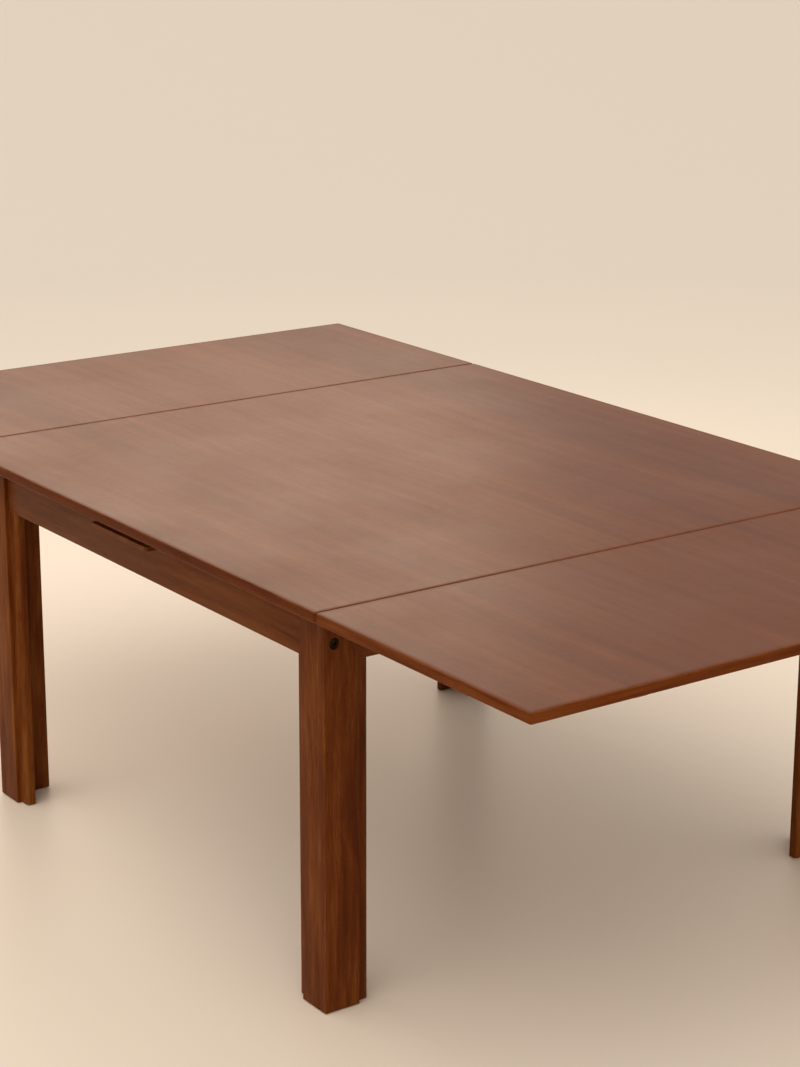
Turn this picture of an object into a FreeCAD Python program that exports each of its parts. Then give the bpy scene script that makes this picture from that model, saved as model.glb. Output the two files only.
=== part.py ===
import FreeCAD, Part
import math
import os
import Sketcher

# Draw-leaf dining table.
# X runs along the extension, Y across the table, Z up, and the origin is on the
# floor under the middle. Near is +X, far is -X, front is -Y and back is +Y.
# The leaves are drawn out: the loose centre top lies on the fixed centre board
# and each leaf is level with it, on two sloping bearers that run in the frame.

SIZES = {
    # centre top and leaves
    "table_height": 740,
    "top_length": 1300,
    "top_width": 1300,
    "top_thickness": 19,
    "seam_gap": 2,
    "lipping_width": 8,
    "top_corner": 5,
    "panel_arris": 2.5,
    # fixed centre board between the drawn-in leaves
    "board_width": 200,
    "board_thickness": 20,
    "board_setback": 9,
    "board_corner": 6,
    "board_arris": 1.5,
    "finger_height": 11.5,
    "finger_depth": 14,
    # angle-section legs, two boards each
    "leg_inset": 50,
    "leg_width": 95,
    "leg_face": 70,
    "leg_thickness": 29,
    "leg_rebate": 10,
    "leg_lap": 20,
    "leg_free_edge": 8,
    "leg_corner": 2,
    # aprons
    "apron_height": 80,
    "apron_thickness": 28,
    "apron_recess": 8,
    "apron_arris": 1.5,
    # leaf bearers, their notches and mortises
    "bearer_width": 28,
    "bearer_depth": 34,
    "bearer_inset": 150,
    "bearer_pitch": 40,
    "bearer_cover": 2,
    "bearer_inner_end": 10,
    "bearer_nose": 16,
    "bearer_arris": 1.5,
    "bearer_shoulder_gap": 4,
    "bearer_top_gap": 1,
    "sliding_gap": 0.3,
    "side_gap": 0.75,
    # cross rails under the centre board
    "rail_offset": 50,
    "rail_thickness": 20,
    "rail_web": 10.6,
    # stop pegs in the bearers
    "stop_diameter": 10,
    "stop_rise": 12,
    "stop_travel": 18.5,
    "stop_embed": 20,
    # guide pegs in the centre top
    "peg_diameter": 25,
    "peg_inset": 80,
    "peg_embed": 10,
    "peg_reach": 60,
    "peg_gap": 0.4,
    # leg bolts and barrel nuts
    "bolt_diameter": 8,
    "bolt_drop": 41,
    "bolt_length": 110,
    "bolt_head_diameter": 16,
    "bolt_head_height": 4.5,
    "bolt_socket": 5.8,
    "bolt_socket_depth": 3,
    "counterbore_diameter": 20,
    "counterbore_depth": 9,
    "washer_diameter": 18.5,
    "washer_thickness": 1.5,
    "nut_diameter": 14,
    "nut_length": 20,
    "nut_setback": 35,
    "hole_gap": 0.1,
    # dowels between end aprons and legs, and between rails and long aprons
    "dowel_diameter": 10,
    "dowel_length": 60,
    "dowel_spread": 18,
    "rail_dowel_diameter": 8,
    "rail_dowel_length": 36,
    "rail_dowel_spread": 22,
    # wood screws
    "screw_diameter": 4.5,
    "screw_head_diameter": 9,
    "screw_head_height": 4,
    "screw_bite": 12,
    "screw_grip": 21,
    "screw_end_margin": 50,
    "screw_sink": 0.5,
    "board_screw_length": 50,
    "board_screw_inset": 50,
    # glides under the legs
    "glide_diameter": 18,
    "glide_thickness": 2,
    "glide_pin_diameter": 3,
    "glide_pin_length": 15,
    "glide_place": 60,
}

NODES = {}

doc = FreeCAD.newDocument("draw_leaf_table")
dims = doc.addObject("Spreadsheet::Sheet", "dims")
for row, (alias, value) in enumerate(SIZES.items(), start=1):
    dims.set(f"A{row}", alias)
    dims.set(f"B{row}", str(value))
    dims.setAlias(f"B{row}", alias)
doc.recompute()


def sheet(text):
    """An expression: each word of the text that names a size points at its cell."""
    words = sorted(SIZES, key=len, reverse=True)
    parts = []
    token = ""
    for sign in text + " ":
        if sign.isalnum() or sign == "_" or sign == ".":
            token += sign
            continue
        parts.append(f"dims.{token}" if token in words else token)
        parts.append(sign)
        token = ""
    return "".join(parts).strip()


# Heights and places that several pieces share, as formulas of the sheet's sizes.
TOP_UNDERSIDE = "(table_height - top_thickness)"
SLOT_FLOOR = "(table_height - top_thickness - board_thickness)"
APRON_BOTTOM = f"({SLOT_FLOOR} - apron_height)"
HALF_TOP_X = "(top_length / 2)"
HALF_TOP_Y = "(top_width / 2)"
LEG_X = "(top_length / 2 - leg_inset)"
LEG_Y = "(top_width / 2 - leg_inset)"
LEAF_START = "(top_length / 2 + seam_gap)"
APRON_END_X = f"({LEG_X} - leg_face)"
APRON_END_Y = f"({LEG_Y} - leg_face)"
APRON_OUT_X = f"({LEG_X} - apron_recess)"
APRON_OUT_Y = f"({LEG_Y} - apron_recess)"
APRON_IN_X = f"({APRON_OUT_X} - apron_thickness)"
APRON_IN_Y = f"({APRON_OUT_Y} - apron_thickness)"
LEAF_TRAVEL = f"({HALF_TOP_X} - board_width / 2)"
SLOPE = f"(board_thickness / {LEAF_TRAVEL})"
BEARER_BASE = f"({SLOT_FLOOR} - bearer_cover - bearer_depth)"
BEARER_END = f"({APRON_OUT_X} + {LEAF_TRAVEL})"
BOLT_Z = f"({SLOT_FLOOR} - bolt_drop)"
BOLT_Y = f"({APRON_OUT_Y} - apron_thickness / 2)"
NUT_X = f"({APRON_END_X} - nut_setback)"
STOP_X = "(rail_offset - stop_travel - stop_diameter / 2)"
OWN_Y = f"({APRON_END_Y} - bearer_inset)"
OTHER_Y = f"({OWN_Y} + bearer_pitch)"
PEG_Y = f"({OWN_Y} - peg_inset)"
BOARD_SCREW_Y = f"({PEG_Y} - board_screw_inset)"
RAIL_OUT = "(rail_offset + rail_thickness)"


def dims_value(text):
    """The present value of a formula, read through the sheet's own cells."""
    return float(dims.evalExpression(sheet(text)))


def bearer_low(x):
    """Height of a bearer's lower edge at x, drawn out; it slides along itself."""
    return f"({BEARER_BASE} + {SLOPE} * ({x} - {APRON_IN_X}))"


def bearer_high(x):
    """Height of the upper edge of the bearer's inner part at x."""
    return f"({bearer_low(x)} + bearer_depth)"


def bind(thing, path, text):
    thing.setExpression(path, sheet(text))


def place(thing, at, direction=None):
    """Set where a piece sits, and which way its own Z points."""
    if direction is not None:
        up = FreeCAD.Vector(0, 0, 1)
        thing.Placement = FreeCAD.Placement(
            FreeCAD.Vector(), FreeCAD.Rotation(up, FreeCAD.Vector(*direction)))
    return place_base(thing, at)


def place_base(thing, at):
    for axis, text in zip("xyz", at):
        bind(thing, f"Placement.Base.{axis}", text)
    return thing


def box(name, low, size):
    thing = doc.addObject("Part::Box", name)
    for side, text in zip(("Length", "Width", "Height"), size):
        bind(thing, side, text)
    return place(thing, low)


def span_box(name, low, high):
    """A box from one corner to the opposite one."""
    size = [f"({b}) - ({a})" for a, b in zip(low, high)]
    return box(name, low, size)


def cylinder(name, start, direction, diameter, length):
    thing = doc.addObject("Part::Cylinder", name)
    bind(thing, "Radius", f"({diameter}) / 2")
    bind(thing, "Height", length)
    return place(thing, start, direction)


def fuse(name, things):
    joined = doc.addObject("Part::MultiFuse", name)
    joined.Shapes = things
    return joined


def cut(name, base, tools):
    result = doc.addObject("Part::Cut", name)
    result.Base = base
    result.Tool = tools[0] if len(tools) == 1 else fuse(f"{name}_tools", tools)
    return result


def common(name, base, tool):
    result = doc.addObject("Part::Common", name)
    result.Base = base
    result.Tool = tool
    return result


def compound(name, things):
    group = doc.addObject("Part::Compound", name)
    group.Links = things
    return group


def mirror(name, source, axis):
    """The mirror image of a piece across the plane through the origin."""
    image = doc.addObject("Part::Mirroring", name)
    image.Source = source
    image.Normal = FreeCAD.Vector(axis == "X", axis == "Y", axis == "Z")
    return image


def four_ways(name, source):
    """A piece at +X -Y and its images in the other three corners."""
    far = mirror(f"{name}_far", source, "X")
    back = mirror(f"{name}_back", source, "Y")
    far_back = mirror(f"{name}_far_back", far, "Y")
    return [source, far, back, far_back]


def node(name, thing):
    thing.Label = name
    NODES[name] = thing
    return thing


def origin_plane(body, role):
    return next(f for f in body.Origin.OriginFeatures if f.Role == role)


def outline_body(name, role, points, depth, midplane=False):
    """A body padded from a closed straight-sided outline on one origin plane."""
    body = doc.addObject("PartDesign::Body", name)
    sketch = body.newObject("Sketcher::SketchObject", f"{name}_outline")
    sketch.AttachmentSupport = [(origin_plane(body, role), "")]
    sketch.MapMode = "FlatFace"
    values = [[dims_value(text) for text in point] for point in points]
    corners = [FreeCAD.Vector(x, y, 0) for x, y in values]
    for start, end in zip(corners, corners[1:] + corners[:1]):
        sketch.addGeometry(Part.LineSegment(start, end), False)
    for index in range(len(points)):
        sketch.addConstraint(Sketcher.Constraint(
            "Coincident", index, 2, (index + 1) % len(points), 1))
    for index, point in enumerate(points):
        for kind, text, value in zip(("DistanceX", "DistanceY"), point, values[index]):
            if text == "0":
                line = -2 if kind == "DistanceX" else -1
                sketch.addConstraint(Sketcher.Constraint("PointOnObject", index, 1, line))
                continue
            number = sketch.addConstraint(
                Sketcher.Constraint(kind, -1, 1, index, 1, value))
            sketch.setExpression(f"Constraints[{number}]", sheet(text))
    pad = body.newObject("PartDesign::Pad", f"{name}_pad")
    pad.Profile = sketch
    pad.Midplane = midplane
    bind(pad, "Length", depth)
    doc.recompute()
    return body, pad


def round_edges(body, feature, chosen, radius, name):
    """A fillet on the chosen edges of the body's last feature."""
    edges = [f"Edge{i}" for i, edge in enumerate(feature.Shape.Edges, start=1) if chosen(edge)]
    fillet = body.newObject("PartDesign::Fillet", name)
    fillet.Base = (feature, edges)
    bind(fillet, "Radius", radius)
    doc.recompute()
    return fillet


def upright_at(edge, x, y):
    """Whether an edge is vertical and stands at x, y of its body."""
    ends = [vertex.Point for vertex in edge.Vertexes]
    if len(ends) != 2 or abs(ends[0].z - ends[1].z) < 1:
        return False
    return all(math.hypot(p.x - x, p.y - y) < 0.01 for p in ends)


def level_edge(edge):
    """Whether an edge lies level, as the ones round a board's two faces do."""
    return abs(edge.Vertexes[0].Z - edge.Vertexes[-1].Z) < 0.01


def slab(name, low, size, corner, arris):
    """A board lying flat, with rounded corners and eased edges round both faces."""
    length, width, height = size
    corners = [("0", "0"), (length, "0"), (length, width), ("0", width)]
    body, pad = outline_body(name, "XY_Plane", corners, height)
    rounded = round_edges(
        body, pad, lambda edge: not level_edge(edge), corner, f"{name}_corner")
    round_edges(body, rounded, level_edge, arris, f"{name}_arris")
    return place(body, low)


def mitred_bar(name, at, turn, length):
    """A bar with mitred ends that marks out one edge lipping of a slab."""
    bar = doc.addObject("Part::Wedge", name)
    for side, text in {
            "Xmin": "0", "Xmax": length,
            "X2min": "lipping_width", "X2max": f"({length}) - lipping_width",
            "Ymin": "0", "Ymax": "lipping_width",
            "Zmin": "0", "Zmax": "top_thickness",
            "Z2min": "0", "Z2max": "top_thickness"}.items():
        bind(bar, side, text)
    bar.Placement.Rotation = FreeCAD.Rotation(FreeCAD.Vector(0, 0, 1), turn)
    return place_base(bar, at)


def lipped_panel(prefix, low_x, high_x, drills):
    """A veneered panel between low_x and high_x, and its four solid lippings."""
    low_y = f"(0 - {HALF_TOP_Y})"
    high_y = HALF_TOP_Y
    length = f"({high_x}) - ({low_x})"
    whole = slab(f"{prefix}_slab", (low_x, low_y, TOP_UNDERSIDE),
                 (length, "top_width", "top_thickness"), "top_corner", "panel_arris")
    inner = span_box(
        f"{prefix}_inner",
        (f"{low_x} + lipping_width", f"{low_y} + lipping_width", TOP_UNDERSIDE),
        (f"{high_x} - lipping_width", f"{high_y} - lipping_width", "table_height"))
    core = common(f"{prefix}_core", whole, inner)
    node(f"{prefix}_panel", cut(f"{prefix}_drilled", core, drills) if drills else core)
    sides = {
        "front": (low_x, low_y, 0, length),
        "near": (high_x, low_y, 90, "top_width"),
        "back": (high_x, high_y, 180, length),
        "far": (low_x, high_y, 270, "top_width"),
    }
    for side, (x, y, turn, run) in sides.items():
        bar = mitred_bar(f"{prefix}_{side}_bar", (x, y, TOP_UNDERSIDE), turn, run)
        node(f"{prefix}_lipping_{side}", common(f"{prefix}_{side}_strip", whole, bar))


def wood_screw(name, seat, direction, length):
    """A flat-headed screw: its head starts at the seat and the shank follows."""
    step = FreeCAD.Vector(*direction)
    head = cylinder(f"{name}_head", seat, direction, "screw_head_diameter", "screw_head_height")
    below = [f"{text} + {value} * screw_head_height" for text, value in zip(seat, step)]
    shank = cylinder(f"{name}_shank", below, direction, "screw_diameter", length)
    return fuse(name, [head, shank])


# --- Legs: each is two boards glued into an angle, lapped at the corner ---------

def leg_board(name, points, corner_edges):
    body, feature = outline_body(
        name, "XY_Plane", points, f"{SLOT_FLOOR} - glide_thickness")
    for number, (x, y, radius) in enumerate(corner_edges):
        feature = round_edges(
            body, feature,
            lambda edge: upright_at(edge, dims_value(x), dims_value(y)),
            radius, f"{name}_round_{number}")
    return place(body, (f"0 - {LEG_X}", f"0 - {LEG_Y}", "glide_thickness"))


end_board = leg_board(
    "leg_end_board",
    [("0", "0"), ("0", "leg_face"), ("leg_rebate", "leg_face"), ("leg_rebate", "leg_width"),
     ("leg_thickness", "leg_width"), ("leg_thickness", "leg_lap"), ("leg_lap", "leg_lap"),
     ("leg_lap", "0")],
    [("0", "0", "leg_corner"), ("leg_rebate", "leg_width", "leg_free_edge"),
     ("leg_thickness", "leg_width", "leg_corner")])
side_board = leg_board(
    "leg_side_board",
    [("leg_lap", "0"), ("leg_face", "0"), ("leg_face", "leg_rebate"), ("leg_width", "leg_rebate"),
     ("leg_width", "leg_thickness"), ("leg_thickness", "leg_thickness"),
     ("leg_thickness", "leg_lap"), ("leg_lap", "leg_lap")],
    [("leg_width", "leg_rebate", "leg_free_edge"), ("leg_width", "leg_thickness", "leg_corner")])

side_notch = span_box(
    "side_notch",
    (f"0 - {APRON_END_X}", f"0 - {LEG_Y}", APRON_BOTTOM),
    (f"0 - {LEG_X} + leg_width + 1", f"0 - {LEG_Y} + leg_width", f"{SLOT_FLOOR} + 1"))
end_notch = span_box(
    "end_notch",
    (f"0 - {LEG_X}", f"0 - {APRON_END_Y}", APRON_BOTTOM),
    (f"0 - {LEG_X} + leg_width", f"0 - {LEG_Y} + leg_width + 1", f"{SLOT_FLOOR} + 1"))

# One bolt per leg runs along the long apron into a barrel nut.
bolt_at = (f"0 - {LEG_X}", f"0 - {BOLT_Y}", BOLT_Z)
bolt_start = (f"0 - {LEG_X} + counterbore_depth - washer_thickness", f"0 - {BOLT_Y}", BOLT_Z)
ALONG = (1, 0, 0)
OUTWARD = (-1, 0, 0)
BACK = (0, 1, 0)
counterbore = cylinder("counterbore", bolt_at, ALONG, "counterbore_diameter", "counterbore_depth")
bolt_hole = cylinder(
    "bolt_hole", bolt_at, ALONG, "bolt_diameter + 2 * hole_gap",
    "counterbore_depth + bolt_length + 2")
dowel_x = f"0 - ({LEG_X} - leg_thickness + {APRON_OUT_X}) / 2"
dowel_heights = [f"{APRON_BOTTOM} + apron_height / 2 {sign} dowel_spread" for sign in "+-"]
dowel_holes = [
    cylinder(f"dowel_hole_{i}", (dowel_x, f"0 - {APRON_END_Y} - dowel_length / 2 - 1", z), BACK,
             "dowel_diameter + 2 * hole_gap", "dowel_length + 2")
    for i, z in enumerate(dowel_heights)]
dowels = [
    cylinder(f"dowel_{i}", (dowel_x, f"0 - {APRON_END_Y} - dowel_length / 2", z), BACK,
             "dowel_diameter", "dowel_length")
    for i, z in enumerate(dowel_heights)]

# Glides: a disc under each board, with a pin driven up into it.
glide_places = [
    (f"0 - {LEG_X} + leg_rebate / 2 + leg_thickness / 2", f"0 - {LEG_Y} + glide_place"),
    (f"0 - {LEG_X} + glide_place", f"0 - {LEG_Y} + leg_rebate / 2 + leg_thickness / 2")]
UP = (0, 0, 1)
DOWN = (0, 0, -1)
glides = []
glide_holes = []
for i, (x, y) in enumerate(glide_places):
    disc = cylinder(f"glide_disc_{i}", (x, y, "0"), UP, "glide_diameter", "glide_thickness")
    pin = cylinder(f"glide_pin_{i}", (x, y, "0"), UP, "glide_pin_diameter",
                   "glide_thickness + glide_pin_length")
    glides.append(fuse(f"glide_{i}", [disc, pin]))
    glide_holes.append(cylinder(
        f"glide_hole_{i}", (x, y, "0"), UP, "glide_pin_diameter + 2 * hole_gap",
        "glide_thickness + glide_pin_length + 1"))

end_cut = cut("end_board_cut", end_board,
              [end_notch, counterbore, bolt_hole, glide_holes[0]] + dowel_holes)
side_cut = cut("side_board_cut", side_board, [side_notch, bolt_hole, glide_holes[1]])
CORNERS = ("far_front", "near_front", "far_back", "near_back")
for corner, thing in zip(CORNERS, four_ways("end_board", end_cut)):
    node(f"leg_{corner}_end_board", thing)
for corner, thing in zip(CORNERS, four_ways("side_board", side_cut)):
    node(f"leg_{corner}_side_board", thing)
node("foot_glides", compound("all_glides", [
    thing for i, glide in enumerate(glides) for thing in four_ways(f"glide_{i}_copy", glide)]))
node("apron_dowels", compound("all_dowels", [
    thing for i, dowel in enumerate(dowels) for thing in four_ways(f"dowel_{i}_copy", dowel)]))

# --- Bolts, washers and barrel nuts ----------------------------------------------

shank = cylinder("bolt_shank", bolt_start, ALONG, "bolt_diameter", "bolt_length")
head = cylinder("bolt_head", bolt_start, OUTWARD, "bolt_head_diameter", "bolt_head_height")
socket = doc.addObject("Part::Prism", "bolt_socket_prism")
socket.Polygon = 6
bind(socket, "Circumradius", "bolt_socket")
bind(socket, "Height", "bolt_socket_depth + 1")
place(socket, (f"{bolt_start[0]} - bolt_head_height - 1",) + bolt_start[1:], ALONG)
bolt = cut("bolt", fuse("bolt_blank", [shank, head]), [socket])
washer_blank = cylinder("washer_blank", bolt_start, ALONG, "washer_diameter", "washer_thickness")
washer = cut("washer", washer_blank, [bolt_hole])
nut_blank = cylinder(
    "nut_blank", (f"0 - {NUT_X}", f"0 - {BOLT_Y} - nut_length / 2", BOLT_Z), BACK,
    "nut_diameter", "nut_length")
nut = cut("nut", nut_blank, [bolt_hole])
nut_pocket = cylinder(
    "nut_pocket", (f"0 - {NUT_X}", f"0 - {BOLT_Y} - nut_length / 2 - hole_gap", BOLT_Z), BACK,
    "nut_diameter + 2 * hole_gap", "nut_length / 2 + apron_thickness / 2 + hole_gap + 1")
node("leg_bolts", compound("all_bolts", four_ways("bolt_copy", bolt)))
node("bolt_washers", compound("all_washers", four_ways("washer_copy", washer)))
node("barrel_nuts", compound("all_nuts", four_ways("nut_copy", nut)))

# --- Cross rails, their dowels and the mortises for the bearers ------------------

HALF_WAY = "(bearer_width / 2 + side_gap)"
OTHER_LOW = f"({bearer_low(f'(0 - {RAIL_OUT})')} - sliding_gap)"
RAIL_BOTTOM = f"({OTHER_LOW} - rail_web)"


def passage(name, y, low, high):
    """An opening for a bearer at y, as deep as the near rail and as high as given."""
    return span_box(
        name,
        ("rail_offset - 1", f"{y} - {HALF_WAY}", low),
        (f"{RAIL_OUT} + 1", f"{y} + {HALF_WAY}", high))


own_mortise = passage(
    "own_mortise", OWN_Y,
    f"{bearer_low('rail_offset')} - sliding_gap", f"{bearer_high(RAIL_OUT)} + sliding_gap")
other_mortise = passage(
    "other_mortise", OTHER_Y, OTHER_LOW,
    f"{bearer_high('(0 - rail_offset)')} + stop_rise + 2 * sliding_gap + 1")
rail_blank = span_box(
    "rail_blank",
    ("rail_offset", f"0 - {APRON_IN_Y}", RAIL_BOTTOM),
    (RAIL_OUT, APRON_IN_Y, SLOT_FLOOR))

rail_x = "rail_offset + rail_thickness / 2"
rail_dowels = []
rail_dowel_holes = []
for i, sign in enumerate("+-"):
    z = f"({SLOT_FLOOR} + {RAIL_BOTTOM}) / 2 {sign} rail_dowel_spread"
    start = f"0 - {APRON_IN_Y} - rail_dowel_length / 2"
    rail_dowels.append(cylinder(
        f"rail_dowel_{i}", (rail_x, start, z), BACK, "rail_dowel_diameter", "rail_dowel_length"))
    rail_dowel_holes.append(cylinder(
        f"rail_dowel_hole_{i}", (rail_x, f"{start} - 1", z), BACK,
        "rail_dowel_diameter + 2 * hole_gap", "rail_dowel_length + 2"))
rail_dowels_all = [
    thing for i, dowel in enumerate(rail_dowels)
    for thing in four_ways(f"rail_dowel_{i}_copy", dowel)]
rail_holes_all = [
    thing for i, hole in enumerate(rail_dowel_holes)
    for thing in four_ways(f"rail_dowel_hole_{i}_copy", hole)]

board_screws = []
board_screw_holes = []
for i, y in enumerate((f"0 - {BOARD_SCREW_Y}", "0", BOARD_SCREW_Y)):
    seat = (rail_x, y, f"{TOP_UNDERSIDE} - screw_sink")
    board_screws.append(wood_screw(
        f"board_screw_{i}", seat, DOWN, "board_screw_length - screw_head_height"))
    board_screw_holes.append(cylinder(
        f"board_screw_bore_{i}", seat, DOWN, "screw_diameter + 2 * hole_gap",
        "board_screw_length + 1"))
    board_screw_holes.append(cylinder(
        f"board_screw_sink_{i}", (rail_x, y, TOP_UNDERSIDE), DOWN,
        "screw_head_diameter + 2 * hole_gap", "screw_sink + screw_head_height"))

rail_near = cut(
    "rail_near", rail_blank,
    [own_mortise, mirror("own_mortise_front", own_mortise, "Y"),
     other_mortise, mirror("other_mortise_front", other_mortise, "Y")]
    + rail_holes_all + board_screw_holes)
node("cross_rail_near", rail_near)
node("cross_rail_far", mirror("rail_far", rail_near, "X"))
node("rail_dowels", compound("all_rail_dowels", rail_dowels_all))

# --- Centre board -----------------------------------------------------------------

board_y = f"({HALF_TOP_Y} - board_setback)"
board = slab("board", ("0 - board_width / 2", f"0 - {board_y}", SLOT_FLOOR),
             ("board_width", f"2 * {board_y}", "board_thickness"),
             "board_corner", "board_arris")
peg_passages = [
    cylinder(f"peg_passage_{i}", ("0", y, f"{SLOT_FLOOR} - 1"), UP,
             "peg_diameter + 2 * peg_gap", "board_thickness + 2")
    for i, y in enumerate((f"0 - {PEG_Y}", PEG_Y))]
far_screw_holes = [
    mirror(f"{hole.Name}_far", hole, "X") for hole in board_screw_holes]
# A rebate along each end leaves a lip, and room for fingers under the loose top.
finger_rebate = span_box(
    "finger_rebate",
    ("0 - board_width / 2 - 1", f"0 - {board_y} - 1", f"{TOP_UNDERSIDE} - finger_height"),
    ("board_width / 2 + 1", f"0 - {board_y} + finger_depth", f"{TOP_UNDERSIDE} + 1"))
node("centre_board", cut(
    "board_cut", board,
    [finger_rebate, mirror("finger_rebate_back", finger_rebate, "Y")]
    + peg_passages + board_screw_holes + far_screw_holes))
node("centre_board_screws", compound(
    "all_board_screws",
    board_screws + [mirror(f"{screw.Name}_far", screw, "X") for screw in board_screws]))

# --- Aprons -----------------------------------------------------------------------

long_blank = slab(
    "long_apron_blank", (f"0 - {APRON_END_X}", f"0 - {APRON_OUT_Y}", APRON_BOTTOM),
    (f"2 * {APRON_END_X}", "apron_thickness", "apron_height"),
    "apron_arris", "apron_arris")
long_apron = cut(
    "long_apron", long_blank,
    [bolt_hole, mirror("bolt_hole_near", bolt_hole, "X"),
     nut_pocket, mirror("nut_pocket_near", nut_pocket, "X")] + rail_holes_all)
node("long_apron_front", long_apron)
node("long_apron_back", mirror("long_apron_mirrored", long_apron, "Y"))

end_blank = slab(
    "end_apron_blank", (APRON_IN_X, f"0 - {APRON_END_Y}", APRON_BOTTOM),
    ("apron_thickness", f"2 * {APRON_END_Y}", "apron_height"),
    "apron_arris", "apron_arris")


def apron_notch(name, y):
    """An open-topped notch through the near end apron for a bearer at y."""
    return span_box(
        name,
        (f"{APRON_IN_X} - 1", f"{y} - {HALF_WAY}",
         f"{bearer_low(APRON_IN_X)} - sliding_gap"),
        (f"{APRON_OUT_X} + 1", f"{y} + {HALF_WAY}", f"{SLOT_FLOOR} + 1"))


dowel_holes_all = [
    thing for i, hole in enumerate(dowel_holes)
    for thing in four_ways(f"dowel_hole_{i}_copy", hole)]


def end_apron(name, y):
    notch = apron_notch(f"{name}_notch", y)
    return cut(name, end_blank, [notch, mirror(f"{name}_notch_front", notch, "Y")]
               + dowel_holes_all)


node("end_apron_near", end_apron("end_apron_own", OWN_Y))
node("end_apron_far", mirror("end_apron_other_far", end_apron("end_apron_other", OTHER_Y), "X"))

# --- Leaf bearers, stop pegs and screws -------------------------------------------

SHOULDER = f"({APRON_OUT_X} + bearer_shoulder_gap)"
NOSE = f"({BEARER_END} - bearer_nose)"
SCREW_XS = [
    f"({LEAF_START} + screw_end_margin)",
    f"(({LEAF_START} + {BEARER_END}) / 2)",
    f"({BEARER_END} - screw_end_margin)"]
bearer_outline = [
    ("bearer_inner_end", bearer_low("bearer_inner_end")),
    (NOSE, bearer_low(NOSE)),
    (BEARER_END, f"{bearer_low(BEARER_END)} + bearer_nose"),
    (BEARER_END, TOP_UNDERSIDE),
    (LEAF_START, TOP_UNDERSIDE),
    (LEAF_START, f"{TOP_UNDERSIDE} - bearer_top_gap"),
    (SHOULDER, f"{TOP_UNDERSIDE} - bearer_top_gap"),
    (SHOULDER, bearer_high(SHOULDER)),
    ("bearer_inner_end", bearer_high("bearer_inner_end"))]


def along_underside(edge):
    """Whether an edge runs along the sloping underside of a bearer."""
    ends = [vertex.Point for vertex in edge.Vertexes]
    low = dims_value(bearer_low("0"))
    slope = dims_value(SLOPE)
    return (abs(ends[0].x - ends[1].x) > 1
            and all(abs(p.z - low - slope * p.x) < 0.01 for p in ends))


def bearer_set(name, y):
    """A near bearer at y with its stop peg, screws and the leaf's pilot holes."""
    body, pad = outline_body(f"{name}_blank", "XZ_Plane", bearer_outline, "bearer_width", True)
    round_edges(body, pad, along_underside, "bearer_arris", f"{name}_arris")
    place(body, ("0", y, "0"))
    stop_base = (STOP_X, y, f"{bearer_high(STOP_X)} - stop_embed")
    stop_hole = cylinder(f"{name}_stop_hole", stop_base, UP,
                         "stop_diameter + 2 * hole_gap", "stop_embed + stop_rise")
    stop = cylinder(f"{name}_stop", stop_base, UP, "stop_diameter", "stop_embed + stop_rise")
    holes = [stop_hole]
    screws = []
    pilots = []
    head_z = f"({TOP_UNDERSIDE} - screw_grip - screw_head_height)"
    for i, x in enumerate(SCREW_XS):
        screws.append(wood_screw(f"{name}_screw_{i}", (x, y, head_z), UP,
                                 "screw_grip + screw_bite"))
        holes.append(cylinder(f"{name}_sink_{i}", (x, y, f"{APRON_BOTTOM} - 1"), UP,
                              "screw_head_diameter + 2 * hole_gap",
                              f"{head_z} + screw_head_height - {APRON_BOTTOM} + 1"))
        holes.append(cylinder(f"{name}_bore_{i}", (x, y, head_z), UP,
                              "screw_diameter + 2 * hole_gap", "screw_grip + 2 * screw_bite"))
        pilots.append(cylinder(f"{name}_pilot_{i}", (x, y, f"{TOP_UNDERSIDE} - 1"), UP,
                               "screw_diameter + 2 * hole_gap", "screw_bite + 1 + hole_gap"))
    return cut(f"{name}_cut", body, holes), stop, screws, pilots


near = {side: bearer_set(f"near_{side}", y)
        for side, y in (("front", f"0 - {OWN_Y}"), ("back", OWN_Y))}
far = {side: bearer_set(f"far_{side}", y)
       for side, y in (("front", f"0 - {OTHER_Y}"), ("back", OTHER_Y))}
for side, (bearer, stop, _, _) in near.items():
    node(f"near_bearer_{side}", bearer)
    node(f"near_stop_peg_{side}", stop)
for side, (bearer, stop, _, _) in far.items():
    node(f"far_bearer_{side}", mirror(f"far_bearer_{side}_image", bearer, "X"))
    node(f"far_stop_peg_{side}", mirror(f"far_stop_{side}_image", stop, "X"))
node("near_bearer_screws", compound(
    "all_near_screws", [screw for _, _, screws, _ in near.values() for screw in screws]))
node("far_bearer_screws", compound("all_far_screws", [
    mirror(f"{screw.Name}_image", screw, "X")
    for _, _, screws, _ in far.values() for screw in screws]))

# --- Centre top, leaves and guide pegs ---------------------------------------------

LEAF_END = f"({HALF_TOP_X} + {LEAF_TRAVEL})"
near_pilots = [hole for _, _, _, pilots in near.values() for hole in pilots]
far_pilots = [mirror(f"{hole.Name}_image", hole, "X")
              for _, _, _, pilots in far.values() for hole in pilots]
peg_sockets = [
    cylinder(f"peg_socket_{i}", ("0", y, f"{TOP_UNDERSIDE} - 1"), UP,
             "peg_diameter + 2 * hole_gap", "peg_embed + 1 + hole_gap")
    for i, y in enumerate((f"0 - {PEG_Y}", PEG_Y))]
lipped_panel("centre_top", f"(0 - {HALF_TOP_X})", HALF_TOP_X, peg_sockets)
lipped_panel("near_leaf", LEAF_START, LEAF_END, near_pilots)
lipped_panel("far_leaf", f"(0 - {LEAF_END})", f"(0 - {LEAF_START})", far_pilots)
for side, y in (("front", f"0 - {PEG_Y}"), ("back", PEG_Y)):
    node(f"guide_peg_{side}", cylinder(
        f"peg_{side}", ("0", y, f"{TOP_UNDERSIDE} - peg_reach"), UP,
        "peg_diameter", "peg_reach + peg_embed"))

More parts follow.
